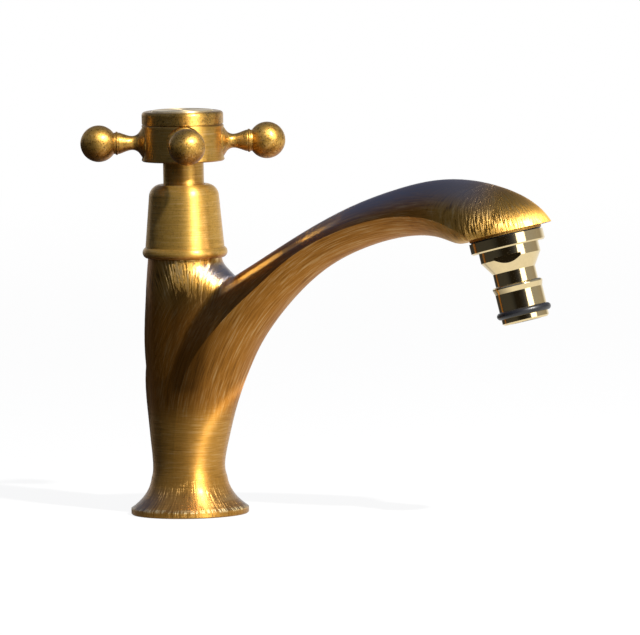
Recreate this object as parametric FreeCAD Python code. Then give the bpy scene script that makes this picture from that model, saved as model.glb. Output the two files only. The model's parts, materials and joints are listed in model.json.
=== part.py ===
"""Single cold pillar tap with a cross handle and a push-on hose nozzle, as an assembly of separate pieces.

Lengths are in millimetres and angles in degrees.  +Z is up, +X runs from the column towards the outlet,
and the origin is the centre of the base, on the deck.  The handle turns about the Z axis.  Everything
that is screwed into the outlet is made along its own upright axis and then tilted into place.
"""
import FreeCAD
import Part
import math
import os

V = FreeCAD.Vector
UP = V(0, 0, 1)
OUT_DIR = "parts"
QUARTER = 0.5523         # share of a radius at which a cubic quarter circle has its inner poles

# ---------------------------------------------------------------- clearances
THREAD_GAP = 0.02        # radial, between a male thread and its bore
SPINDLE_GAP = 0.05       # radial, between the spindle and its bearing bore
SPLINE_GAP = 0.05        # radial, between the spindle's spline and the hub
DISC_GAP = 0.35          # radial, between what turns in the cage and the cage
SKIRT_GAP = 0.3          # radial, between the hub's skirt and the bell's hole
SEAT_GAP = 0.05          # of a part laid in its groove or recess
FACE_GAP = 0.05          # between the two faces of the thrust bearing

# ---------------------------------------------------------------- body casting: foot and column
BASE_R = 20.6            # round base on the deck
RIM_H = 2.2              # its upright rim
RIM_EDGE = 0.4           # bevel under the rim
FOOT_TOP_R = 13.2        # where the flared foot meets the column
FOOT_TOP_Z = 13.0
FLARE = [(0.69, 0.16), (0.32, 0.44)]   # points of the flare: share of its width still left, share of its rise
COLUMN_TOP_R = 13.0
COLUMN_TOP_Z = 89.9
CROTCH_FILLET = 3.0      # hollow between the column's top and the spout
SEAM_ROOM = 3.0          # how far the edges of that seam stay from the column's top

# column above the spout's root: height below the top face, side and back radius, reach to the front
STUB_RINGS = [
    (48.0, 12.8, 9.0),
    (36.0, 14.6, 12.0),
    (24.0, 14.7, 16.0),
    (14.0, 14.1, 20.0),
    (6.7, 13.6, 18.1),
    (3.4, 13.3, 14.4),
    (0.0, COLUMN_TOP_R, COLUMN_TOP_R),
]

# lower column and spout as one swan-necked horn: the back or ridge point x, z and the belly point x, z of
# each cross-section, its half width at the side crease, the crease's place from belly (0) to ridge (1),
# how square the upper half is (QUARTER is an ellipse), and the angle at which the upper and the lower half
# leave the crease (90 and 90 make no crease)
HORN_RINGS = [
    (-12.7, 18.0, 12.6, 18.0, 12.6, 0.50, QUARTER, 90, 90),
    (-13.3, 25.0, 13.9, 24.5, 13.2, 0.49, QUARTER, 90, 90),
    (-14.2, 34.5, 16.1, 33.0, 14.1, 0.47, QUARTER, 89, 88),
    (-15.0, 47.5, 19.3, 42.5, 14.9, 0.44, 0.57, 88, 84),
    (-11.5, 61.5, 23.5, 52.0, 15.0, 0.40, 0.62, 86, 78),
    (-1.5, 71.5, 27.8, 60.0, 14.5, 0.39, 0.64, 82, 72),
    (9.0, 77.8, 33.5, 67.7, 13.5, 0.42, 0.60, 78, 66),
    (24.0, 86.2, 42.3, 77.2, 12.1, 0.47, 0.57, 74, 60),
    (40.5, 96.0, 53.0, 86.0, 10.9, 0.56, QUARTER, 70, 56),
    (62.0, 107.4, 68.5, 93.9, 10.7, 0.53, QUARTER, 70, 54),
    (82.5, 114.9, 85.0, 98.3, 11.5, 0.45, QUARTER, 76, 54),
]
# the hood over the outlet, likewise, but placed along and up from the outlet's centre, square to its axis
HOOD_FRONT = 17.2        # outlet's axis to the tip of the hood
HOOD_REAR = 13.8         # outlet's axis to the back of the hood's rim
HOOD_LIFT = 0.9          # height of the hood's rim above the outlet's lip
HOOD_RINGS = [
    (-15.3, 23.3, -24.5, 5.0, 12.7, 0.35, QUARTER, 86, 56),
    (2.5, 16.3, -18.2, 1.5, 13.4, 0.28, QUARTER, 96, 62),
    (12.7, 8.3, -15.4, 0.6, 13.5, 0.25, QUARTER, 101, 70),
    (HOOD_FRONT, HOOD_LIFT, -HOOD_REAR, HOOD_LIFT, 13.1, 0.24, QUARTER, 104, 78),
]

# ---------------------------------------------------------------- body casting: outlet and waterway
OUTLET_X = 122.45        # centre of the outlet's lip
OUTLET_Z = 99.4
OUTLET_TILT = 13.8       # the outlet leans outwards from straight down
BOSS_R = 12.65           # round boss around the outlet's thread
BOSS_ROOT = 2.5          # how far the boss reaches up into the hood
OUTLET_THREAD_R = 11.0   # M22 x 1 female thread
OUTLET_THREAD_L = 6.5
OUTLET_POCKET_R = 9.0    # pocket above the thread
OUTLET_POCKET_L = 2.2
INLET_THREAD_R = 10.48   # G 1/2 socket for the supply hose or the fixing tail
INLET_THREAD_L = 13.0
COLUMN_BORE_R = 9.3      # cored hollow of the column
SEAT_PLATE_T = 6.0       # web between that hollow and the cartridge
SEAT_BORE_R = 5.5        # water's way through the web
CHAMBER_R = 10.0         # space round the cartridge's cage
SEAT_Z = 66.0            # seat of the cartridge, the chamber's floor
CHAMBER_TOP_Z = 78.0
CARTRIDGE_THREAD_R = 10.5
PASSAGE_R = 4.2          # cored waterway up the spout
PASSAGE_POINTS = [(4.0, 72.5), (28.0, 80.0), (46.5, 91.0), (65.0, 100.6), (84.0, 106.6), (100.0, 108.3)]
SEAL_GROOVE_IN = 3.7     # from the base's edge in to the middle of the seal's groove
SEAL_W = 2.6
SEAL_T = 1.4

# ---------------------------------------------------------------- cartridge
CAGE_R = 8.9             # the cage that holds the discs
CAGE_WALL = 0.75
CAGE_LIFT = 0.6          # gap under the cage, taken up by the seat seal
SEAT_SEAL_H = 2.5
FIXED_DISC_H = 3.5
ROTATING_DISC_H = 3.0
PORT_HALF_ANGLE = 40.0   # half width of a disc's port and of a cage window
PORT_INNER_R = 2.6
PORT_OUTER_R = 6.4
WINDOW_H = 2.8
FLANGE_H = 2.0           # spindle flange over the rotating disc
THRUST_WASHER_H = 0.7
DOG_W = 3.0              # drive dog across the flange, in the disc's slot
DOG_H = 1.2
DOG_SHORT = 1.0          # how far each end of the dog stays inside the disc's rim
FLANGE_WASHER_R = 12.3
FLANGE_WASHER_H = 0.6
HEX_AF = 21.0            # spanner hexagon
HEX_H = 4.5
HEX_ROOM = 0.45          # radial room between the hexagon's corners and the bell
BELL_THREAD_R = 11.8
BELL_THREAD_H = 4.0
CARTRIDGE_NECK_R = 7.5
CARTRIDGE_NECK_H = 9.2
SPINDLE_R = 5.0
O_RING_FLOOR_R = 3.3     # bottom of the spindle's o-ring grooves
O_RING_PLACES = (14.0, 21.0)   # of the two o-rings, above the thrust bearing
CIRCLIP_R = 6.8
CIRCLIP_GROOVE_R = 4.3
CIRCLIP_H = 0.8
CIRCLIP_GAP = 0.1        # under the circlip, over the cartridge's neck
SPLINE_R = 4.0           # tips of the twenty-tooth spline
SPLINE_DEPTH = 0.35
SPLINE_TEETH = 20
SPLINE_TOOTH = ((0, -0.38), (1, -0.16), (1, 0.16), (0, 0.38))   # root 0 or tip 1, and share of the pitch
SPLINE_L = 20.0

# ---------------------------------------------------------------- bell cover
BELL_BEAD_R = 14.85      # beaded ring at its foot
BELL_BEAD_H = 3.6
BELL_FOOT_R = 13.8
BELL_SHOULDER_R = 12.25
BELL_SHOULDER_H = 21.3
BELL_CROWN_R = 8.9       # flat top inside the rounded shoulder
SHOULDER_MID = (0.72, 0.62)    # point half way round the shoulder: share of its width and of its rise
BELL_H = 25.5
BELL_WALL = 1.6

# ---------------------------------------------------------------- cross handle
SKIRT_R = 7.1            # hub's skirt, seen as the neck between bell and hub
SKIRT_L = 11.4
NECK_SHOWN = 8.2         # height of the skirt that shows above the bell
HUB_R = 14.5
HUB_H = 12.7
HUB_EDGE = 0.4
HUB_WEB = 2.8            # thickness of the web under the screw
RECESS_R = 10.5          # threaded recess for the cap
RECESS_L = 2.6
SCREW_R = 2.0            # M4 screw down into the spindle
SCREW_L = 11.0           # its length in the spindle
SCREW_HOLE_SPARE = 1.0   # tapped hole below the screw's tip
SCREW_HEAD_R = 3.6
SCREW_HEAD_H = 2.2
SCREW_HEAD_BEVEL = 0.7
SCREW_SOCKET_AF = 2.5
SCREW_SOCKET_H = 1.3
SCREW_WASHER_R = 4.5
SCREW_WASHER_H = 0.8
CAP_R = 14.25
CAP_H = 4.3
CAP_EDGE_R = 1.2
CAP_STEP_IN = 0.75       # narrow step that leaves a dark line under the cap
CAP_STEP_H = 0.35
CAP_PLUG_WALL = 1.9
CAP_CROWN = 2.2          # thickness of the cap over its hollow
BUTTON_R = 10.9          # plain index button
BUTTON_SINK = 1.0
BUTTON_PROUD = 0.4
ARM_Z_ABOVE_HUB = 6.6    # arm axis above the hub's underside
ARM_CLOCK = 28.4         # direction of the first arm, anticlockwise from +X
ARM_NAMES = ("handle_arm_right", "handle_arm_back", "handle_arm_left", "handle_arm_front")
STUD_R = 2.5             # M5 stud of an arm
STUD_IN = 8.0            # how near the stud comes to the axis
SPOT_X = 12.9            # spot face on the hub, from the axis
SPOT_ROOM = 0.15
ARM_FOOT_R = 6.1
ARM_FOOT_L = 0.5
ARM_WAIST_R = 2.5
ARM_END_R = 3.75         # where the neck meets the bead
# points of the neck: share of its length, share of the swelling from the waist to the foot or to the bead
ARM_FLARE = [(0.12, 0.63), (0.24, 0.21), (0.40, 0.0)]
ARM_SWELL = [(0.63, 0.16), (0.96, 1.0)]
ARM_BEAD_X = 23.1
ARM_BEAD_R = 4.1
ARM_BEAD_HALF = 0.45
BALL_X = 29.4
BALL_R = 6.4
BALL_ROOT_R = 3.7

# ---------------------------------------------------------------- hose adapter, along the outlet's axis
ADAPTER_WASHER_H = 0.5
ADAPTER_WASHER_IN = 0.4  # from the boss's edge in to the washer's
ADAPTER_THREAD_L = 5.6
ADAPTER_BORE_R = 5.25
COLLAR_R = 13.0
COLLAR_L = 3.9
COLLAR_BEVEL = 0.5
BARREL_R = 10.5         # wide cylinder under the collar
BARREL_L = 3.5
CONE_L = 4.6
STEM_R = 7.45
STEM_L = 4.5
NOSE_BEAD_R = 8.8
NOSE_BEAD_RISE = 0.9     # the bead's steep upper side
NOSE_BEAD_MID = (0.85, 0.33)   # point on that side: share of the bead's height and of the side's length
NOSE_BEAD_L = 2.6        # and its whole length, with the long slope below
NOSE_R = 8.3
NOSE_L = 6.1
NOSE_GROOVE_R = 7.0
NOSE_RING_R = 9.5        # outside of the nose's o-ring
NOSE_RING_L = 2.6
TIP_R = 8.2
TIP_L = 2.1
TIP_BEVEL = 0.6
FLAT_AF = 18.7           # the two spanner flats
FLAT_FROM = 2.6          # below the collar
FLAT_L = 6.0
FLAT_TURN = 72.5         # direction of a flat about the adapter's axis
SCREEN_T = 0.6           # filter screen on the adapter's thread
SCREEN_RIM = 1.6
SCREEN_HOLE_R = 0.75
SCREEN_PITCH = 2.1

# ---------------------------------------------------------------- heights that follow from the sizes above
CAGE_BOTTOM_Z = SEAT_Z + CAGE_LIFT
FIXED_DISC_Z = SEAT_Z + SEAT_SEAL_H
ROTATING_DISC_Z = FIXED_DISC_Z + FIXED_DISC_H
FLANGE_Z = ROTATING_DISC_Z + ROTATING_DISC_H
THRUST_Z = FLANGE_Z + FLANGE_H
SHOULDER_Z = THRUST_Z + THRUST_WASHER_H + FACE_GAP
HEX_Z = COLUMN_TOP_Z + FLANGE_WASHER_H
BELL_THREAD_Z = HEX_Z + HEX_H
CARTRIDGE_NECK_Z = BELL_THREAD_Z + BELL_THREAD_H
CARTRIDGE_TOP_Z = CARTRIDGE_NECK_Z + CARTRIDGE_NECK_H
CIRCLIP_Z = CARTRIDGE_TOP_Z + CIRCLIP_GAP
BELL_TOP_Z = COLUMN_TOP_Z + BELL_H
HUB_Z = BELL_TOP_Z + NECK_SHOWN
HUB_TOP_Z = HUB_Z + HUB_H
RECESS_Z = HUB_TOP_Z - RECESS_L
SPINDLE_TOP_Z = RECESS_Z - HUB_WEB
ARM_Z = HUB_Z + ARM_Z_ABOVE_HUB
CAP_Z = HUB_TOP_Z + CAP_STEP_H
CAP_TOP_Z = CAP_Z + CAP_H
CAGE_BORE_R = CAGE_R - CAGE_WALL
TURNING_R = CAGE_BORE_R - DISC_GAP
HEX_CORNER_R = HEX_AF / 2 / math.cos(math.radians(30))
BELL_ROOM_R = HEX_CORNER_R + HEX_ROOM
SEAL_GROOVE_R = BASE_R - SEAL_GROOVE_IN
# stations along the adapter, from the outlet's lip downwards
COLLAR_S = ADAPTER_WASHER_H
BARREL_S = COLLAR_S + COLLAR_L
CONE_S = BARREL_S + BARREL_L
STEM_S = CONE_S + CONE_L
NOSE_BEAD_S = STEM_S + STEM_L
NOSE_S = NOSE_BEAD_S + NOSE_BEAD_L
GROOVE_S = NOSE_S + NOSE_L
TIP_S = GROOVE_S + NOSE_RING_L
ADAPTER_END_S = TIP_S + TIP_L


# ---------------------------------------------------------------- drawing helpers
def at(r, z):
    return V(r, 0, z)


def line(a, b):
    return Part.LineSegment(a, b).toShape()


def cubic(poles):
    curve = Part.BezierCurve()
    curve.setPoles(poles)
    return curve.toShape()


def smooth(points):
    curve = Part.BSplineCurve()
    curve.interpolate(points)
    return curve.toShape()


def closed_face(start, *steps):
    """Face in the XZ plane.  A step is a point to draw a line to, a pair of points for an arc through the
    first to the second, or a longer list for a smooth curve through all of them."""
    edges = []
    here = start
    for step in steps + (start,):
        if isinstance(step, tuple):
            edges.append(line(at(*here), at(*step)))
            here = step
        elif len(step) == 2:
            edges.append(Part.Arc(at(*here), at(*step[0]), at(*step[1])).toShape())
            here = step[1]
        else:
            edges.append(smooth([at(*p) for p in [here] + step]))
            here = step[-1]
    return Part.Face(Part.Wire(edges))


def turned(start, *steps):
    return closed_face(start, *steps).revolve(V(), UP, 360)


def cylinder(r, z0, z1):
    return Part.makeCylinder(r, z1 - z0, V(0, 0, z0))


def ring(inner, outer, z0, z1):
    return turned((inner, z0), (outer, z0), (outer, z1), (inner, z1))


def o_ring(inner, outer, z):
    """Ring of round section, z being its middle."""
    return Part.makeTorus((inner + outer) / 2, (outer - inner) / 2, V(0, 0, z), UP)


def prism(points, z0, z1):
    """Upright prism on a polygon given in plan."""
    corners = [V(x, y, z0) for x, y in points]
    face = Part.Face(Part.makePolygon(corners + corners[:1]))
    return face.extrude(UP * (z1 - z0))


def polar(r, angle):
    return r * math.cos(math.radians(angle)), r * math.sin(math.radians(angle))


def hexagon(across_flats, z0, z1):
    corner = across_flats / 2 / math.cos(math.radians(30))
    return prism([polar(corner, 60 * k) for k in range(6)], z0, z1)


def spline_prism(root, tip, z0, z1):
    step = 360.0 / SPLINE_TEETH
    points = []
    for k in range(SPLINE_TEETH):
        for up, shift in SPLINE_TOOTH:
            points.append(polar(root + up * (tip - root), (k + shift) * step))
    return prism(points, z0, z1)


def sector(inner, outer, z0, z1, middle):
    """Port-shaped block, PORT_HALF_ANGLE to each side of its middle direction."""
    block = Part.makeCylinder(outer, z1 - z0, V(0, 0, z0), UP, 2 * PORT_HALF_ANGLE)
    block.rotate(V(), UP, middle - PORT_HALF_ANGLE)
    return block.cut(cylinder(inner, z0, z1))


def on_outlet(shape):
    """Tilt a shape that was made downwards along +Z from the outlet's lip into place."""
    turn = FreeCAD.Rotation(V(0, 1, 0), 180 - OUTLET_TILT)
    placed = shape.copy()
    placed.Placement = FreeCAD.Placement(V(OUTLET_X, 0, OUTLET_Z), turn).multiply(placed.Placement)
    return placed


# ---------------------------------------------------------------- body casting
def horn_ring(ridge, belly, half_w, crease_at, square, upper_angle, lower_angle):
    """Cross-section of the horn: a domed upper half and a deeper lower half that meet at side creases."""
    rise = ridge - belly
    out_up = rise * (1 / rise.Length)
    halves = []
    for s in (-1, 1):
        side = V(0, s, 0)
        crease = belly + rise * crease_at + side * half_w
        up_reach = square * rise.Length * (1 - crease_at)
        low_reach = QUARTER * rise.Length * crease_at
        ua, la = math.radians(upper_angle), math.radians(lower_angle)
        up_pole = crease - side * (up_reach * math.cos(ua)) + out_up * (up_reach * math.sin(ua))
        low_pole = crease - side * (low_reach * math.cos(la)) - out_up * (low_reach * math.sin(la))
        halves.append(([belly, belly + side * (QUARTER * half_w), low_pole, crease],
                       [crease, up_pole, ridge + side * (square * half_w), ridge]))
    (near_low, near_up), (far_low, far_up) = halves
    return Part.Wire([cubic(near_low), cubic(near_up), cubic(far_up[::-1]), cubic(far_low[::-1])])


def from_outlet(along, up):
    """Point of the XZ plane, given square to the outlet's axis and up it."""
    c, s = math.cos(math.radians(OUTLET_TILT)), math.sin(math.radians(OUTLET_TILT))
    return at(OUTLET_X + along * c - up * s, OUTLET_Z + along * s + up * c)


def round_ring(r, z):
    """True circle in four quarters, starting at the front and going round the near side."""
    quarters = []
    for start in (0, -90, -180, -270):
        a, m, b = (V(*polar(r, start - turn), z) for turn in (0, 45, 90))
        quarters.append(Part.Arc(a, m, b).toShape())
    return Part.Wire(quarters)


def horn():
    rings = [round_ring(FOOT_TOP_R, FOOT_TOP_Z)]
    rings += [horn_ring(at(rx, rz), at(bx, bz), *form) for rx, rz, bx, bz, *form in HORN_RINGS]
    for ridge_along, ridge_up, belly_along, belly_up, *form in HOOD_RINGS:
        rings.append(horn_ring(from_outlet(ridge_along, ridge_up), from_outlet(belly_along, belly_up), *form))
    return Part.makeLoft(rings, True, False, False)


def egg(z, r, front):
    """Round at the back and sides, reaching further to the front."""
    edges = []
    for a, b in ((-r, -r), (front, -r), (front, r), (-r, r)):
        quarter = [V(a, 0, z), V(a, QUARTER * b, z), V(QUARTER * a, b, z), V(0, b, z)]
        edges.append(cubic(quarter if a * b > 0 else quarter[::-1]))
    return Part.Wire(edges)


def stub():
    rings = [egg(COLUMN_TOP_Z - down, r, front) for down, r, front in STUB_RINGS]
    return Part.makeLoft(rings, True, False, False)


def foot():
    width = BASE_R - FOOT_TOP_R
    rise = FOOT_TOP_Z - RIM_H
    flare = [(FOOT_TOP_R + width * left, RIM_H + rise * up) for left, up in FLARE]
    return turned((0, 0), (BASE_R - RIM_EDGE, 0), (BASE_R, RIM_EDGE), (BASE_R, RIM_H),
                  flare + [(FOOT_TOP_R, FOOT_TOP_Z)], (0, FOOT_TOP_Z))


def waterway():
    """Everything that is bored and cored out of the casting."""
    bores = [
        cylinder(INLET_THREAD_R, 0, INLET_THREAD_L),
        cylinder(COLUMN_BORE_R, INLET_THREAD_L, SEAT_Z - SEAT_PLATE_T),
        cylinder(SEAT_BORE_R, SEAT_Z - SEAT_PLATE_T, SEAT_Z),
        cylinder(CHAMBER_R, SEAT_Z, CHAMBER_TOP_Z),
        cylinder(CARTRIDGE_THREAD_R, CHAMBER_TOP_Z, COLUMN_TOP_Z),
        on_outlet(cylinder(OUTLET_THREAD_R, -OUTLET_THREAD_L, 0)),
        on_outlet(cylinder(OUTLET_POCKET_R, -OUTLET_THREAD_L - OUTLET_POCKET_L, -OUTLET_THREAD_L)),
    ]
    pocket_top = from_outlet(0, OUTLET_THREAD_L + OUTLET_POCKET_L / 2)
    route = [at(x, z) for x, z in PASSAGE_POINTS] + [pocket_top]
    for a, b in zip(route, route[1:]):
        bores.append(Part.makeCylinder(PASSAGE_R, (b - a).Length, a, b - a))
    bores += [Part.makeSphere(PASSAGE_R, p) for p in route[1:-1]]
    half = SEAL_W / 2
    bores.append(ring(SEAL_GROOVE_R - half, SEAL_GROOVE_R + half, 0, SEAL_T))
    return bores


def tap_body():
    casting = horn().fuse(stub())
    casting = casting.makeFillet(CROTCH_FILLET, [e for e in casting.Edges if is_seam(e)])
    boss = on_outlet(cylinder(BOSS_R, -BOSS_ROOT, 0))
    casting = casting.fuse([foot(), boss]).removeSplitter()
    return casting.cut(waterway())


def is_seam(edge):
    """Edges where the column's top grows out of the horn, from the back round to the crotch."""
    box = edge.BoundBox
    lowest = COLUMN_TOP_Z - STUB_RINGS[0][0] - SEAM_ROOM
    furthest = max(front for down, r, front in STUB_RINGS) + SEAM_ROOM
    return box.ZMin > lowest and box.XMax < furthest and box.ZMax < COLUMN_TOP_Z - SEAM_ROOM


def base_seal_ring():
    half = SEAL_W / 2 - SEAT_GAP
    return ring(SEAL_GROOVE_R - half, SEAL_GROOVE_R + half, 0, SEAL_T - SEAT_GAP)


# ---------------------------------------------------------------- cartridge
def cartridge_body():
    thread_r = CARTRIDGE_THREAD_R - THREAD_GAP
    bore = SPINDLE_R + SPINDLE_GAP
    blank = turned((CAGE_BORE_R, CAGE_BOTTOM_Z), (CAGE_R, CAGE_BOTTOM_Z), (CAGE_R, CHAMBER_TOP_Z),
                   (thread_r, CHAMBER_TOP_Z), (thread_r, HEX_Z), (BELL_THREAD_R, HEX_Z),
                   (BELL_THREAD_R, CARTRIDGE_NECK_Z), (CARTRIDGE_NECK_R, CARTRIDGE_NECK_Z),
                   (CARTRIDGE_NECK_R, CARTRIDGE_TOP_Z), (bore, CARTRIDGE_TOP_Z), (bore, SHOULDER_Z),
                   (CAGE_BORE_R, SHOULDER_Z))
    nut = hexagon(HEX_AF, HEX_Z, BELL_THREAD_Z).cut(cylinder(BELL_THREAD_R - 1, HEX_Z, BELL_THREAD_Z))
    windows = []
    for middle in (0, 180):
        window = sector(CAGE_BORE_R - 1, CAGE_R + 1, ROTATING_DISC_Z, ROTATING_DISC_Z + WINDOW_H, middle)
        windows.append(window)
    return blank.fuse(nut).removeSplitter().cut(windows)


def cartridge_flange_washer():
    return ring(CARTRIDGE_THREAD_R, FLANGE_WASHER_R, COLUMN_TOP_Z, HEX_Z)


def cartridge_seat_seal():
    return ring(SEAT_BORE_R, CAGE_BORE_R - SEAT_GAP, SEAT_Z, FIXED_DISC_Z)


def fixed_ceramic_disc():
    z0, z1 = FIXED_DISC_Z, ROTATING_DISC_Z
    ports = [sector(PORT_INNER_R, PORT_OUTER_R, z0, z1, middle) for middle in (0, 180)]
    return cylinder(CAGE_BORE_R - SEAT_GAP, z0, z1).cut(ports)


def rotating_ceramic_disc():
    """Its two ports are open at the rim, and lie across the fixed disc's ports while the tap is shut."""
    z0, z1 = ROTATING_DISC_Z, FLANGE_Z
    ports = [sector(PORT_INNER_R, TURNING_R + 1, z0, z1, middle) for middle in (90, 270)]
    slot_w = DOG_W + 2 * SEAT_GAP
    slot_h = DOG_H + SEAT_GAP
    slot = Part.makeBox(2 * TURNING_R, slot_w, slot_h, V(-TURNING_R, -slot_w / 2, z1 - slot_h))
    return cylinder(TURNING_R, z0, z1).cut(ports + [slot])


def o_ring_heights():
    return [SHOULDER_Z + up for up in O_RING_PLACES]


def spindle():
    spline_z = SPINDLE_TOP_Z - SPLINE_L
    root = SPLINE_R - SPLINE_DEPTH
    shaft = cylinder(TURNING_R, FLANGE_Z, THRUST_Z).fuse(cylinder(SPINDLE_R, THRUST_Z, spline_z))
    dog_l = 2 * (TURNING_R - DOG_SHORT)
    dog = Part.makeBox(dog_l, DOG_W, DOG_H, V(-dog_l / 2, -DOG_W / 2, FLANGE_Z - DOG_H))
    shaft = shaft.fuse([dog, spline_prism(root, SPLINE_R, spline_z, SPINDLE_TOP_Z)])
    half = (SPINDLE_R - O_RING_FLOOR_R) / 2 + SEAT_GAP
    grooves = [ring(O_RING_FLOOR_R, SPINDLE_R + 1, z - half, z + half) for z in o_ring_heights()]
    grooves.append(ring(CIRCLIP_GROOVE_R, SPINDLE_R + 1, CIRCLIP_Z, CIRCLIP_Z + CIRCLIP_H))
    hole_z = SPINDLE_TOP_Z - SCREW_L - SCREW_HOLE_SPARE
    tapped = cylinder(SCREW_R + THREAD_GAP, hole_z, SPINDLE_TOP_Z)
    return shaft.cut(grooves + [tapped])


def spindle_o_rings():
    return Part.Compound([o_ring(O_RING_FLOOR_R, SPINDLE_R, z) for z in o_ring_heights()])


def spindle_thrust_washer():
    return ring(SPINDLE_R + SPINDLE_GAP, TURNING_R, THRUST_Z, THRUST_Z + THRUST_WASHER_H)


def spindle_circlip():
    clip = ring(CIRCLIP_GROOVE_R, CIRCLIP_R, CIRCLIP_Z, CIRCLIP_Z + CIRCLIP_H)
    gap_w = CIRCLIP_GROOVE_R
    mouth = Part.makeBox(CIRCLIP_R + 1, gap_w, CIRCLIP_H, V(0, -gap_w / 2, CIRCLIP_Z))
    return clip.cut(mouth)


# ---------------------------------------------------------------- bell cover
def bell_cover():
    foot_z = COLUMN_TOP_Z
    bead_z = foot_z + BELL_BEAD_H
    shoulder_z = foot_z + BELL_SHOULDER_H
    drop = BELL_TOP_Z - shoulder_z
    swell = BELL_SHOULDER_R - BELL_CROWN_R
    across, up = SHOULDER_MID
    shoulder_mid = (BELL_CROWN_R + across * swell, shoulder_z + up * drop)
    hole = SKIRT_R + SKIRT_GAP
    thread_r = BELL_THREAD_R + THREAD_GAP
    under_top = BELL_TOP_Z - BELL_WALL
    return turned((BELL_ROOM_R, foot_z), (BELL_FOOT_R, foot_z),
                  [(BELL_BEAD_R, foot_z + BELL_BEAD_H / 2), (BELL_FOOT_R, bead_z)],
                  (BELL_SHOULDER_R, shoulder_z), [shoulder_mid, (BELL_CROWN_R, BELL_TOP_Z)],
                  (hole, BELL_TOP_Z), (hole, under_top), (BELL_CROWN_R, under_top),
                  (BELL_SHOULDER_R - BELL_WALL, shoulder_z), (thread_r, CARTRIDGE_NECK_Z),
                  (thread_r, BELL_THREAD_Z), (BELL_ROOM_R, BELL_THREAD_Z))


# ---------------------------------------------------------------- cross handle
def arm_directions():
    return [ARM_CLOCK + 90 * k for k in range(len(ARM_NAMES))]


def along_arm(shape, direction):
    """Lay a shape made upright along +Z from the axis out along an arm."""
    placed = shape.copy()
    placed.rotate(V(), V(0, 1, 0), 90)
    placed.rotate(V(), UP, direction)
    placed.translate(UP * ARM_Z)
    return placed


def handle_hub():
    skirt_z = HUB_Z - SKIRT_L
    e = HUB_EDGE
    blank = turned((0, skirt_z), (SKIRT_R, skirt_z), (SKIRT_R, HUB_Z), (HUB_R - e, HUB_Z),
                   (HUB_R, HUB_Z + e), (HUB_R, HUB_TOP_Z - e), (HUB_R - e, HUB_TOP_Z),
                   (RECESS_R, HUB_TOP_Z), (RECESS_R, RECESS_Z), (0, RECESS_Z))
    root = SPLINE_R - SPLINE_DEPTH + SPLINE_GAP
    cuts = [
        spline_prism(root, SPLINE_R + SPLINE_GAP, skirt_z, SPINDLE_TOP_Z),
        cylinder(SCREW_R + SPLINE_GAP, SPINDLE_TOP_Z, RECESS_Z),
    ]
    for direction in arm_directions():
        cuts.append(along_arm(cylinder(ARM_FOOT_R + SPOT_ROOM, SPOT_X, HUB_R), direction))
        cuts.append(along_arm(cylinder(STUD_R + THREAD_GAP, STUD_IN, SPOT_X), direction))
    return blank.cut(cuts)


def handle_arm(direction):
    """Turned arm: stud, flared foot, waisted neck, thin bead and ball."""
    foot_x = SPOT_X + ARM_FOOT_L
    bead_a = ARM_BEAD_X - ARM_BEAD_HALF
    bead_b = ARM_BEAD_X + ARM_BEAD_HALF
    neck_l = bead_a - foot_x
    flare, swell = ARM_FOOT_R - ARM_WAIST_R, ARM_END_R - ARM_WAIST_R
    neck = [(ARM_WAIST_R + flare * out, foot_x + neck_l * along) for along, out in ARM_FLARE]
    neck += [(ARM_WAIST_R + swell * out, foot_x + neck_l * along) for along, out in ARM_SWELL]
    root_x = BALL_X - math.sqrt(BALL_R ** 2 - BALL_ROOT_R ** 2)
    shape = turned((0, STUD_IN), (STUD_R, STUD_IN), (STUD_R, SPOT_X), (ARM_FOOT_R, SPOT_X),
                   (ARM_FOOT_R, foot_x), neck, (ARM_END_R, bead_a),
                   [(ARM_BEAD_R, ARM_BEAD_X), (ARM_END_R, bead_b)],
                   (BALL_ROOT_R, root_x), [(BALL_R, BALL_X), (0, BALL_X + BALL_R)])
    return along_arm(shape, direction)


def handle_screw():
    head_z = RECESS_Z + SCREW_WASHER_H
    head_top = head_z + SCREW_HEAD_H
    tip_z = SPINDLE_TOP_Z - SCREW_L
    e = SCREW_HEAD_BEVEL
    screw = turned((0, tip_z), (SCREW_R, tip_z), (SCREW_R, head_z), (SCREW_HEAD_R, head_z),
                   (SCREW_HEAD_R, head_top - e), (SCREW_HEAD_R - e, head_top), (0, head_top))
    return screw.cut(hexagon(SCREW_SOCKET_AF, head_top - SCREW_SOCKET_H, head_top))


def screw_washer():
    return ring(SCREW_R + SPLINE_GAP, SCREW_WASHER_R, RECESS_Z, RECESS_Z + SCREW_WASHER_H)


def hub_cap():
    plug_r = RECESS_R - THREAD_GAP
    hollow_r = plug_r - CAP_PLUG_WALL
    plug_z = RECESS_Z + SEAT_GAP
    hollow_top = CAP_TOP_Z - CAP_CROWN
    e = CAP_EDGE_R
    k = e * (1 - math.cos(math.radians(45)))
    step_r = CAP_R - CAP_STEP_IN
    seat_r = BUTTON_R + SEAT_GAP
    seat_z = CAP_TOP_Z - BUTTON_SINK
    return turned((hollow_r, plug_z), (plug_r, plug_z), (plug_r, HUB_TOP_Z), (step_r, HUB_TOP_Z),
                  (step_r, CAP_Z), (CAP_R, CAP_Z), (CAP_R, CAP_TOP_Z - e),
                  [(CAP_R - k, CAP_TOP_Z - k), (CAP_R - e, CAP_TOP_Z)], (seat_r, CAP_TOP_Z), (seat_r, seat_z),
                  (0, seat_z), (0, hollow_top), (hollow_r, hollow_top))


def index_button():
    """Plain disc where a tap carries its hot or cold mark."""
    top = CAP_TOP_Z + BUTTON_PROUD
    e = BUTTON_PROUD
    return turned((0, CAP_TOP_Z - BUTTON_SINK), (BUTTON_R, CAP_TOP_Z - BUTTON_SINK), (BUTTON_R, CAP_TOP_Z),
                  (BUTTON_R - e, top), (0, top))


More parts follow.
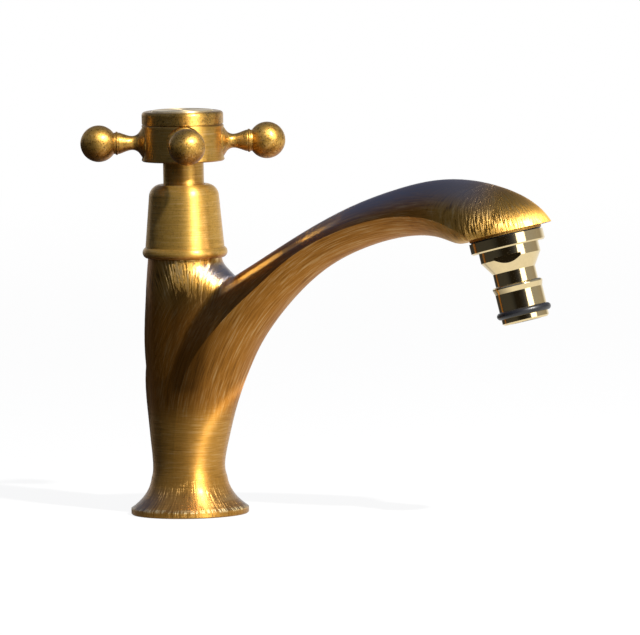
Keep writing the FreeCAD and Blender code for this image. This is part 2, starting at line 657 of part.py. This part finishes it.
# ---------------------------------------------------------------- hose adapter
def adapter_body():
    thread_r = OUTLET_THREAD_R - THREAD_GAP
    out, down = NOSE_BEAD_MID
    bead_mid = (STEM_R + out * (NOSE_BEAD_R - STEM_R), NOSE_BEAD_S + down * NOSE_BEAD_RISE)
    blank = turned((ADAPTER_BORE_R, -ADAPTER_THREAD_L), (thread_r, -ADAPTER_THREAD_L),
                   (thread_r, COLLAR_S), (COLLAR_R, COLLAR_S), (COLLAR_R, BARREL_S - COLLAR_BEVEL),
                   (COLLAR_R - COLLAR_BEVEL, BARREL_S), (BARREL_R, BARREL_S), (BARREL_R, CONE_S),
                   (STEM_R, STEM_S), (STEM_R, NOSE_BEAD_S),
                   [bead_mid, (NOSE_BEAD_R, NOSE_BEAD_S + NOSE_BEAD_RISE)], (NOSE_R, NOSE_S),
                   (NOSE_R, GROOVE_S), (NOSE_GROOVE_R, GROOVE_S), (NOSE_GROOVE_R, TIP_S), (TIP_R, TIP_S),
                   (TIP_R, ADAPTER_END_S - TIP_BEVEL), (TIP_R - TIP_BEVEL, ADAPTER_END_S),
                   (ADAPTER_BORE_R, ADAPTER_END_S))
    flats = []
    for turn in (0, 180):
        block = Part.makeBox(BARREL_R, 2 * BARREL_R, FLAT_L, V(FLAT_AF / 2, -BARREL_R, BARREL_S + FLAT_FROM))
        block.rotate(V(), UP, FLAT_TURN + turn)
        flats.append(block)
    return on_outlet(blank.cut(flats))


def adapter_washer():
    return on_outlet(ring(OUTLET_THREAD_R, BOSS_R - ADAPTER_WASHER_IN, 0, ADAPTER_WASHER_H))


def adapter_nose_o_ring():
    return on_outlet(o_ring(NOSE_GROOVE_R, NOSE_RING_R, (GROOVE_S + TIP_S) / 2))


def adapter_filter_screen():
    """Perforated disc lying on the adapter's thread, inside the outlet."""
    z0, z1 = -ADAPTER_THREAD_L - SCREEN_T, -ADAPTER_THREAD_L
    outer = OUTLET_THREAD_R - SEAT_GAP
    reach = ADAPTER_BORE_R - SCREEN_HOLE_R
    rows = int(reach / SCREEN_PITCH) + 1
    holes = []
    for i in range(-rows, rows + 1):
        for j in range(-rows, rows + 1):
            x, y = i * SCREEN_PITCH, j * SCREEN_PITCH
            if math.hypot(x, y) < reach:
                holes.append(Part.makeCylinder(SCREEN_HOLE_R, z1 - z0, V(x, y, z0)))
    return on_outlet(cylinder(outer, z0, z1).cut(holes))


PIECES = (
    tap_body, base_seal_ring,
    cartridge_body, cartridge_flange_washer, cartridge_seat_seal, fixed_ceramic_disc, rotating_ceramic_disc,
    spindle, spindle_o_rings, spindle_thrust_washer, spindle_circlip,
    bell_cover, handle_hub, handle_screw, screw_washer, hub_cap, index_button,
    adapter_body, adapter_washer, adapter_filter_screen, adapter_nose_o_ring,
)


def save(name, shape):
    if not shape.isValid():
        raise ValueError(name + " is not a valid solid")
    shape.exportStep(os.path.join(OUT_DIR, name + ".step"))
    print("%-26s %9.1f mm3, %d solid(s)" % (name, shape.Volume, len(shape.Solids)))


def main():
    os.makedirs(OUT_DIR, exist_ok=True)
    for make in PIECES:
        save(make.__name__, make())
    for name, direction in zip(ARM_NAMES, arm_directions()):
        save(name, handle_arm(direction))


main()
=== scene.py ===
"""Looks of a cross handle tap: materials, light, floor and camera round the fixed construction model.

Lengths are in metres in the model's own frame: +Z is up, +X runs from the column towards the outlet, and the
handle turns about the Z axis.
"""
import json
import math

import bpy
from mathutils import Matrix, Vector


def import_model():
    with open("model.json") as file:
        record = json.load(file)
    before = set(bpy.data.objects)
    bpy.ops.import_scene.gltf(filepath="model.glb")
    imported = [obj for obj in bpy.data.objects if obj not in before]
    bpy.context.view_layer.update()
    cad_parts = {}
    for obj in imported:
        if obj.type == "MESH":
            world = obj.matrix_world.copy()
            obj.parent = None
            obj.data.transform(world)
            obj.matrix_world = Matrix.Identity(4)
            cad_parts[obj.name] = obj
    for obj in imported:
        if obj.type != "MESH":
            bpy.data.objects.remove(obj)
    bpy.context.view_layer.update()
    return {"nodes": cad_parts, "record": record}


MM = 0.001
UP = (0.0, 0.0, 1.0)

# ---------------------------------------------------------------- view and light
VIEW_AZIMUTH = 25.0          # camera's direction, from square to the spout's plane towards the outlet
VIEW_PITCH = 4.8             # above the horizon
VIEW_ROLL = 1.08             # lean of the photograph
VIEW_DISTANCE = 3.4
VIEW_CENTRE = (45.395 * MM, 68.425 * MM)    # middle of the frame, right of and above the model's origin
SENSOR = 36.0
LENS = 546.43

# azimuth and pitch from the camera's view, distance, width, height, power and colour
KEY_LAMP = (37, 43, 1.8, 0.06, 0.06, 68.0, (1.0, 0.97, 0.93))
STRIP_LAMP = (44, 16, 1.5, 0.70, 0.90, 6.0, (1.0, 0.97, 0.94))
LAMPS_AIM = Vector((40 * MM, 0, 70 * MM))
FLOOR_HALF = 20.0

# ---------------------------------------------------------------- places on the casting
OUTLET_X = 122.45 * MM       # centre of the outlet's lip, and how far its axis leans outwards
OUTLET_Z = 99.4 * MM
OUTLET_TILT = math.radians(13.8)
BOW = (95 * MM, 20 * MM)     # middle of the spout's curve, x and z
BOW_RADIUS = 80 * MM
FAN = (10 * MM, 52 * MM)     # point from which the shoulder's strokes spread upwards, x and z
TOWARDS_KEY_HIGHLIGHT = (0.68, -0.73, 0.0)             # towards the side where the key lamp's highlight falls

# ---------------------------------------------------------------- colours
# patina in strokes and scratches, and painted shade in the seam and below the spout's ridge
PATINA_AND_SHADE = (0.085, 0.034, 0.006)
# grey tarnish with a painted reflection of the sky on what faces upwards, and its darker tone on the foot
TARNISH_AND_SKY_SHEEN = (0.30, 0.31, 0.36)
DARK_TARNISH_AND_SKY_SHEEN = (0.13, 0.12, 0.12)
BRONZE = (0.42, 0.17, 0.021)
BRASS = (0.56, 0.32, 0.062)
# brass rubbed bright in strokes, and also the painted highlight on the spout's ridge and painted glints on
# the foot's lip
RUBBED_AND_GLINT = (0.90, 0.70, 0.34)
PALE_GOLD = (0.83, 0.66, 0.36)
RUBBER = ((0.004, 0.004, 0.005), (0.012, 0.012, 0.014))     # ground and the paler grain in it


def to_vectors(azimuth, pitch):
    """Unit vectors to the right of, above and towards a viewer who looks at the model from there."""
    a, e = math.radians(azimuth), math.radians(pitch)
    right = Vector((math.cos(a), math.sin(a), 0))
    towards = Vector((math.sin(a) * math.cos(e), -math.cos(a) * math.cos(e), math.sin(e)))
    return right, towards.cross(right), towards


# ---------------------------------------------------------------- node trees
class Nodes:
    """Short calls that build up a node tree.  A value that is a socket is linked, any other is set."""

    def __init__(self, tree):
        self.tree = tree
        tree.nodes.clear()

    def add(self, kind, inputs=None, **settings):
        node = self.tree.nodes.new("ShaderNode" + kind)
        for key, value in settings.items():
            setattr(node, key, value)
        for key, value in (inputs or {}).items():
            self.put(node.inputs[key], value)
        return node

    def put(self, socket, value):
        if isinstance(value, bpy.types.NodeSocket):
            self.tree.links.new(value, socket)
        elif socket.type == "RGBA" and len(value) == 3:
            socket.default_value = (*value, 1)
        else:
            socket.default_value = value

    # numbers
    def math(self, operation, a, b=0.0, c=0.0, clamp=False):
        node = self.add("Math", {0: a, 1: b, 2: c}, operation=operation, use_clamp=clamp)
        return node.outputs[0]

    def plus(self, a, b):
        return self.math("ADD", a, b)

    def minus(self, a, b):
        return self.math("SUBTRACT", a, b)

    def times(self, *factors):
        product = factors[0]
        for factor in factors[1:]:
            product = self.math("MULTIPLY", product, factor)
        return product

    def most(self, *values):
        largest = values[0]
        for value in values[1:]:
            largest = self.math("MAXIMUM", largest, value)
        return largest

    def between(self, value, low, high):
        """0 below low and 1 above high, smooth between them."""
        node = self.add("MapRange", {"Value": value, "From Min": low, "From Max": high},
                        interpolation_type="SMOOTHSTEP")
        return node.outputs[0]

    def band(self, value, low, high, soft):
        """1 between low and high, fading out over soft on either side."""
        rise = self.between(value, low - soft, low)
        fall = self.between(value, high, high + soft)
        return self.math("SUBTRACT", rise, fall, clamp=True)

    def level(self, factor, a, b):
        """Number that goes from a to b with the factor."""
        node = self.add("MapRange", {"Value": factor, "To Min": a, "To Max": b})
        return node.outputs[0]

    # vectors
    def join(self, x, y, z):
        return self.add("CombineXYZ", {0: x, 1: y, 2: z}).outputs[0]

    def split(self, vector):
        return self.add("SeparateXYZ", {0: vector}).outputs

    def dot(self, a, b):
        return self.add("VectorMath", {0: a, 1: b}, operation="DOT_PRODUCT").outputs["Value"]

    def cross(self, a, b):
        return self.add("VectorMath", {0: a, 1: b}, operation="CROSS_PRODUCT").outputs[0]

    def length(self, vector):
        return self.add("VectorMath", {0: vector}, operation="LENGTH").outputs["Value"]

    def lean(self, factor, a, b):
        """Vector that goes from a to b with the factor."""
        return self.add("Mix", {0: factor, 4: a, 5: b}, data_type="VECTOR").outputs[1]

    def place(self):
        return self.add("TexCoord").outputs["Object"]

    def facing(self):
        return self.add("TexCoord").outputs["Normal"]

    # patterns and colours
    def noise(self, vector, scale, detail=2.0, rough=0.5, warp=0.0):
        node = self.add("TexNoise", {"Vector": vector, "Scale": scale, "Detail": detail,
                                     "Roughness": rough, "Distortion": warp})
        return node.outputs[0]

    def streaks(self, x, y, z, scale, rough=0.65):
        """Noise over three coordinates.  It is drawn out along one that is multiplied by a small number."""
        return self.noise(self.join(x, y, z), scale, 4.0, rough)

    def blend(self, factor, a, b):
        """Colour that goes from a to b with the factor."""
        return self.add("Mix", {0: factor, 6: a, 7: b}, data_type="RGBA").outputs[2]

    # surface
    def bump(self, height, distance):
        return self.add("Bump", {"Height": height, "Distance": distance}).outputs[0]

    def surface(self, **inputs):
        """Closes the tree with a principled surface."""
        shader = self.add("BsdfPrincipled")
        sockets = {socket.name.lower(): socket for socket in shader.inputs}
        for key, value in inputs.items():
            self.put(sockets[key.replace("_", " ")], value)
        self.add("OutputMaterial", {"Surface": shader.outputs[0]})


def new_material(name):
    material = bpy.data.materials.new(name)
    material.use_nodes = True
    return material, Nodes(material.node_tree)


# ---------------------------------------------------------------- brushed casting
class Casting:
    """Coordinates of a point on the casting, and masks that are 1 in a region and 0 outside it."""

    def __init__(self, n):
        self.place = n.place()
        self.facing = n.facing()
        self.x, self.y, self.z = x, y, z = tuple(n.split(self.place))
        face_x, face_y, self.face_z = tuple(n.split(self.facing))

        self.on_shoulder = n.times(n.between(z, 66 * MM, 84 * MM), n.between(x, 30 * MM, 20 * MM))
        self.on_hood = n.between(x, 92 * MM, 108 * MM)
        self.on_foot = n.between(z, 42 * MM, 30 * MM)
        self.on_flare = n.between(z, 15 * MM, 10 * MM)
        self.on_back = n.times(n.between(face_x, -0.35, -0.65), n.between(x, 5 * MM, -5 * MM))
        # the side where the key lamp's highlight falls, by the way it faces and by its place; painted light
        # makes it golden
        self.on_lit_face = n.between(n.dot(self.facing, TOWARDS_KEY_HIGHLIGHT), 0.0, 0.7)
        self.to_lit_front = n.between(n.dot(self.place, TOWARDS_KEY_HIGHLIGHT), 5 * MM, 13 * MM)
        # the front of the shoulder, where single strokes catch the light
        self.on_fan = n.times(n.between(z, 62 * MM, 84 * MM), n.between(x, 14 * MM, 11 * MM),
                              n.between(x, -10 * MM, 6 * MM))
        # the seam of column and spout lies round an ellipse that reaches further forward the higher it is
        reach = n.math("MULTIPLY_ADD", n.minus(z, 42 * MM), 0.3235, 9 * MM)
        forward = n.math("DIVIDE", x, reach)
        sideways = n.math("DIVIDE", y, 14.4 * MM)
        beyond = n.plus(n.times(forward, forward), n.times(sideways, sideways))
        # painted shade: the colour is darkened towards patina along this seam
        self.seam_painted_shade = n.times(n.band(beyond, 1.06, 1.7, 0.5), n.band(z, 46 * MM, 78 * MM, 5 * MM),
                               n.between(x, -2 * MM, 3 * MM))
        # the ridge along the root of the spout, with a painted highlight, and the hollow below it, with
        # painted shade
        by_root = n.band(x, 22 * MM, 58 * MM, 8 * MM)
        self.ridge_painted_highlight = n.times(by_root, n.band(self.face_z, 0.58, 0.64, 0.07))
        self.ridge_painted_shade = n.times(by_root, n.between(self.face_z, -0.05, 0.15))
        # where the spout's back and root get grey tarnish and a painted reflection of the sky: not on the
        # rubbed tip of the hood
        self.on_top = n.times(n.between(x, 34 * MM, 56 * MM), n.between(x, 126 * MM, 108 * MM))
        self.on_crotch = n.times(n.between(z, 78 * MM, 84 * MM), n.between(x, 24 * MM, 20 * MM))

    def polar(self, n, middle):
        """Place round a point of the spout's plane: forward and up from it, distance and angle."""
        forward, up = n.minus(self.x, middle[0]), n.minus(self.z, middle[1])
        distance = n.math("SQRT", n.plus(n.times(forward, forward), n.times(up, up)))
        return forward, up, distance, n.math("ARCTAN2", up, forward)


def brush(n, at):
    """Height of the brush strokes, which run in each region's own direction, and of the flare's own marks."""
    bow_radius, bow_angle = at.polar(n, BOW)[2:]
    along_spout = n.streaks(n.times(bow_angle, 0.0035), bow_radius, n.times(at.y, 0.9), 1600.0)
    fan_radius, fan_angle = at.polar(n, FAN)[2:]
    fan = n.streaks(n.times(fan_radius, 0.05), n.times(fan_angle, 0.022), n.times(at.y, 0.15), 1900.0, 0.7)
    uprights = n.streaks(n.times(at.x, 0.5), at.y, n.times(at.z, 0.06), 2000.0)
    rings = n.streaks(n.times(at.x, 0.06), n.times(at.y, 0.06), at.z, 2200.0)
    foot_angle = n.math("ARCTAN2", at.y, at.x)
    spokes = n.streaks(n.times(foot_angle, 0.016), n.times(at.z, 0.10), 0.0, 1900.0)
    # scratches that climb the hood from the outlet's rim
    forward, up = at.polar(n, (OUTLET_X, OUTLET_Z))[:2]
    rim_along = n.plus(n.times(forward, math.cos(OUTLET_TILT)), n.times(up, math.sin(OUTLET_TILT)))
    rim_up = n.minus(n.times(up, math.cos(OUTLET_TILT)), n.times(forward, math.sin(OUTLET_TILT)))
    rim_angle = n.math("ARCTAN2", at.y, rim_along)
    scratches = n.streaks(n.times(rim_angle, 0.012), n.times(rim_up, 0.08), 0.0, 2400.0, 0.7)

    strokes = n.level(at.on_shoulder, along_spout, fan)
    strokes = n.level(at.on_back, strokes, uprights)
    strokes = n.level(at.on_foot, strokes, rings)
    strokes = n.level(n.times(at.on_flare, 0.75), strokes, spokes)
    return n.level(at.on_hood, strokes, scratches), spokes


def highlight_way(n, at, strokes):
    """Tangent along which highlights are drawn out: across the strokes, and upwards on the column."""
    forward, up = at.polar(n, BOW)[:2]
    along_spout = n.join(n.times(up, -1 / BOW_RADIUS), 0.0, n.times(forward, 1 / BOW_RADIUS))
    way = n.cross(along_spout, at.facing)
    way = n.lean(n.most(at.on_shoulder, n.between(at.z, 66 * MM, 20 * MM)), way, UP)
    # strokes that stand proud catch the light round the outlet's axis, or round the column's
    outlet_axis = (-math.sin(OUTLET_TILT), 0.0, math.cos(OUTLET_TILT))
    crossed = n.times(n.between(at.x, 100 * MM, 122 * MM), n.between(strokes, 0.42, 0.58), 0.8)
    way = n.lean(crossed, way, n.cross(outlet_axis, at.facing))
    proud = n.between(n.times(strokes, n.level(at.on_fan, 0.7, 1.0)), 0.46, 0.55)
    on_flare = n.times(at.on_flare, n.between(strokes, 0.50, 0.62), 0.8)
    return n.lean(n.most(n.times(at.on_fan, proud), on_flare), way, n.cross(UP, at.facing))


def worn(n, ground, strokes, shine, cut):
    """Colour of darkened brass: strokes rub some lines bright and leave patina in others."""
    colour = n.blend(n.times(n.between(strokes, 0.48, 0.72), shine), ground, RUBBED_AND_GLINT)
    return n.blend(n.times(n.between(strokes, 0.50, 0.30), cut), colour, PATINA_AND_SHADE)


def casting_colour(n, at, strokes, spokes):
    """Colour of the casting with its painted light, and how much grey tarnish and painted sky reflection lies
    on it.
    """
    # painted light: on the shoulder the side towards the key lamp is golden, and further down its strokes
    # shine only there
    golden_and_lit = n.most(n.times(at.on_shoulder, at.on_lit_face), at.on_hood, n.times(at.on_foot, 0.65))
    ground = n.blend(n.times(golden_and_lit, 0.75), BRONZE, BRASS)
    shine = n.level(at.on_hood, n.level(at.on_foot, 0.30, 0.22), 0.40)
    shine = n.level(at.on_shoulder, shine, n.times(at.on_lit_face, 0.7))
    cut = n.level(n.most(at.on_shoulder, at.on_hood), n.level(at.on_foot, 0.50, 0.35), 0.85)
    colour = worn(n, ground, strokes, shine, n.most(cut, n.times(at.on_flare, 0.8)))
    # painted shade in the seam and in the hollow below the ridge, a painted highlight on the ridge and
    # painted glints along the foot's lip
    colour = n.blend(n.most(at.seam_painted_shade, at.ridge_painted_shade), colour, n.blend(0.6, colour, PATINA_AND_SHADE))
    # painted glints along the foot's lip
    lip_painted_glints = n.times(n.band(at.z, 2.0 * MM, 2.7 * MM, 0.4 * MM), n.between(spokes, 0.45, 0.60))
    colour = n.blend(n.most(at.ridge_painted_highlight, lip_painted_glints), colour, RUBBED_AND_GLINT)
    # grey tarnish and a painted reflection of the sky lie on what faces upwards, less on the flare's lit
    # front, and are darker on the foot
    on_foot_sides = n.times(at.on_flare, n.level(at.to_lit_front, 0.9, 0.2))
    where = n.most(at.on_top, at.on_crotch, on_foot_sides)
    tarnish_and_sky_sheen = n.times(n.between(at.face_z, 0.25, 0.80), where, 0.85)
    tarnish_and_sky_colour = n.blend(at.on_flare, TARNISH_AND_SKY_SHEEN, DARK_TARNISH_AND_SKY_SHEEN)
    return n.blend(n.times(tarnish_and_sky_sheen, n.level(strokes, 1.3, 0.6)), colour, tarnish_and_sky_colour), tarnish_and_sky_sheen


def antique_casting():
    """Brushed along the spout, in a fan on the shoulder and round the foot of the column."""
    material, n = new_material("antique_brass_casting")
    at = Casting(n)
    strokes, spokes = brush(n, at)
    colour, tarnish_and_sky_sheen = casting_colour(n, at, strokes, spokes)
    depth = n.level(at.on_shoulder, n.level(at.on_hood, 0.6, 1.8), 3.0)
    fine = n.noise(at.place, 2500.0, 2.0)
    relief = n.plus(n.times(strokes, depth), n.times(fine, 0.12))
    dull = n.times(tarnish_and_sky_sheen, n.between(at.x, 70 * MM, 100 * MM), 0.15)
    polish = n.minus(n.times(at.ridge_painted_highlight, 0.14), dull)
    n.surface(base_color=colour, metallic=n.minus(1.0, n.times(at.on_foot, 0.15)),
              roughness=n.minus(n.level(strokes, 0.50, 0.38), polish), specular_ior_level=0.1,
              normal=n.bump(relief, 0.06 * MM), anisotropic=0.82, tangent=highlight_way(n, at, strokes),
              coat_weight=0.12, coat_roughness=0.25, coat_ior=1.5)
    return material


# ---------------------------------------------------------------- turned pieces and small parts
def antique_turned(name, spin, ground, mottle, metallic, brushed=0.8):
    """Turned brass: fine rings round the spin axis, its highlight drawn out across them."""
    material, n = new_material(name)
    place = n.place()
    squeezed = [coordinate if axis == spin else n.times(coordinate, 0.04)
                for axis, coordinate in zip("XYZ", n.split(place))]
    rings = n.streaks(*squeezed, 2500.0)
    spots = n.noise(place, 1000.0, 5.0, 0.75, 1.0)
    strokes = n.level(mottle, rings, spots)
    # painted shade: darker, redder brass on what faces downwards
    face_z = n.split(n.facing())[2]
    ground = n.blend(n.between(face_z, 0.0, -0.6), ground, BRONZE)
    colour = worn(n, ground, strokes, 0.40, n.level(mottle, 0.30, 0.55))
    # thin curling scratches
    drift = n.math("ABSOLUTE", n.minus(n.noise(place, 600.0, 2.0, 0.6, 0.6), 0.5))
    colour = n.blend(n.times(n.between(drift, 0.034, 0.008), mottle, 0.9), colour, PATINA_AND_SHADE)
    tangent = n.add("Tangent", direction_type="RADIAL", axis=spin).outputs[0]
    n.surface(base_color=colour, metallic=metallic, roughness=n.level(strokes, 0.50, 0.38),
              specular_ior_level=0.1, normal=n.bump(strokes, 0.03 * MM), anisotropic=brushed,
              anisotropic_rotation=0.25, tangent=tangent, coat_weight=0.12, coat_roughness=0.2, coat_ior=1.5)
    return material


def shades(colour, share):
    """A colour and a darker one."""
    return colour, tuple(c * share for c in colour)


def grained(name, colours, metallic, roughness, scale=1200.0):
    """Plain finish whose colour varies between two in fine grain."""
    material, n = new_material(name)
    grain = n.noise(n.place(), scale, 3.0)
    n.surface(base_color=n.blend(grain, *colours), metallic=metallic, roughness=roughness)
    return material


def dress(nodes, record):
    """Gives every node the finish of its slot.  The bell and the arms have their own."""
    materials = {
        "antique_brass_casting": antique_casting(),
        "antique_brass_turned": antique_turned("antique_brass_turned", "Z", BRASS, 0.2, 1.0),
        "antique_brass_cap": antique_turned("antique_brass_cap", "Z", BRASS, 0.7, 1.0),
        "antique_brass_button": antique_turned("antique_brass_button", "Z", PALE_GOLD, 0.3, 0.9),
        "polished_brass": grained("polished_brass", shades(PALE_GOLD, 0.85), 1.0, 0.10, 900.0),
        "machined_brass": grained("machined_brass", shades(RUBBED_AND_GLINT, 0.85), 1.0, 0.10, 900.0),
        "nylon_washer": grained("nylon_washer", shades((0.7, 0.68, 0.6), 0.8), 0.0, 0.5),
        "stainless_steel": grained("stainless_steel", shades((0.6, 0.6, 0.6), 0.8), 1.0, 0.3),
        "black_rubber": grained("black_rubber", RUBBER, 0.0, 0.38, 3000.0),
        "white_ceramic": grained("white_ceramic", shades((0.8, 0.78, 0.74), 0.8), 0.0, 0.2),
    }
    slots = {part["node"]: part["material_slot"] for part in record["subparts"]}
    own = {"bell_cover": antique_turned("antique_brass_bell", "Z", BRASS, 0.25, 0.80)}
    for side, spin in (("left", "X"), ("right", "X"), ("front", "Y"), ("back", "Y")):
        own["handle_arm_" + side] = antique_turned("antique_brass_arm_" + side, spin, BRASS, 0.8, 1.0, 0.3)
    for name, node in nodes.items():
        node.data.materials.clear()
        node.data.materials.append(own.get(name, materials[slots[name]]))


# ---------------------------------------------------------------- studio
def link(thing):
    bpy.context.scene.collection.objects.link(thing)


def add_camera():
    right, up, towards = to_vectors(VIEW_AZIMUTH, VIEW_PITCH)
    roll = math.radians(VIEW_ROLL)
    across = right * math.cos(roll) - up * math.sin(roll)
    rise = right * math.sin(roll) + up * math.cos(roll)
    place = towards * VIEW_DISTANCE + across * VIEW_CENTRE[0] + rise * VIEW_CENTRE[1]
    data = bpy.data.cameras.new("camera")
    data.sensor_width = SENSOR
    data.lens = LENS
    camera = bpy.data.objects.new("camera", data)
    turn = Matrix((across, rise, towards)).transposed().to_4x4()
    camera.matrix_world = Matrix.Translation(place) @ turn
    link(camera)
    bpy.context.scene.camera = camera


def add_lamp(name, azimuth, pitch, distance, width, height, power, colour):
    """Soft lamp that shines at the middle of the tap, placed by its direction from the camera's view."""
    right, up, towards = to_vectors(VIEW_AZIMUTH + azimuth, pitch)
    data = bpy.data.lights.new(name, "AREA")
    data.shape = "RECTANGLE"
    data.size = width
    data.size_y = height
    data.energy = power
    data.color = colour
    lamp = bpy.data.objects.new(name, data)
    turn = Matrix((right, up, towards)).transposed().to_4x4()
    lamp.matrix_world = Matrix.Translation(LAMPS_AIM + towards * distance) @ turn
    link(lamp)


def seen_white(n, backdrop):
    """1 where a ray shows the white background itself, or its mirror image on the backdrop's side."""
    path = n.add("LightPath").outputs
    mirrored = n.times(n.most(path["Is Glossy Ray"], path["Is Transmission Ray"]), backdrop)
    return n.most(path["Is Camera Ray"], mirrored)


def add_floor():
    """White floor with a faint shadow.  Its mirror image darkens to the left of the tap."""
    mesh = bpy.data.meshes.new("floor")
    corners = [(side * FLOOR_HALF, end * FLOOR_HALF, 0) for side, end in ((-1, -1), (1, -1), (1, 1), (-1, 1))]
    mesh.from_pydata(corners, [], [(0, 1, 2, 3)])
    floor = bpy.data.objects.new("floor", mesh)
    link(floor)
    material, n = new_material("floor")
    right = to_vectors(VIEW_AZIMUTH, 0)[0]
    camera = n.add("LightPath").outputs["Is Camera Ray"]
    lit = n.most(camera, n.level(n.between(n.dot(n.place(), right), -0.06, 0.12), 0.02, 1.0))
    pale = n.add("BsdfDiffuse", {"Color": n.blend(lit, (0.01, 0.01, 0.01), (0.78, 0.78, 0.77))})
    white = n.add("Emission", {"Color": (1, 1, 1), "Strength": 1.0})
    share = n.times(seen_white(n, lit), n.level(n.between(n.length(n.place()), 0.3, 1.6), 0.92, 1.0))
    both = n.add("MixShader", {0: share, 1: pale.outputs[0], 2: white.outputs[0]})
    n.add("OutputMaterial", {"Surface": both.outputs[0]})
    mesh.materials.append(material)


def set_world():
    """White to the camera.  In mirror images it is white behind the tap, dark on its left and dim above."""
    world = bpy.data.worlds.new("studio")
    bpy.context.scene.world = world
    world.use_nodes = True
    n = Nodes(world.node_tree)
    right, up, towards = to_vectors(VIEW_AZIMUTH, 0)
    direction = n.add("TexCoord").outputs["Generated"]
    low = n.between(n.dot(direction, UP), 0.40, 0.10)
    behind = n.times(n.between(n.dot(direction, -towards), 0.55, 0.90), low)
    lit_side = n.between(n.dot(direction, right), 0.20, 0.95)
    sky = n.blend(lit_side, (0.15, 0.18, 0.28), (0.40, 0.43, 0.50))
    walls = n.blend(lit_side, (0.015, 0.012, 0.008), (0.42, 0.38, 0.32))
    seen = n.blend(seen_white(n, behind), n.blend(low, sky, walls), (1, 1, 1))
    background = n.add("Background", {"Color": seen, "Strength": 1.0})
    n.add("OutputWorld", {"Surface": background.outputs[0]})


def main():
    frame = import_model()
    dress(frame["nodes"], frame["record"])
    add_camera()
    add_lamp("key", *KEY_LAMP)
    add_lamp("strip", *STRIP_LAMP)
    add_floor()
    set_world()
    bpy.context.scene.view_settings.view_transform = "Standard"


main()
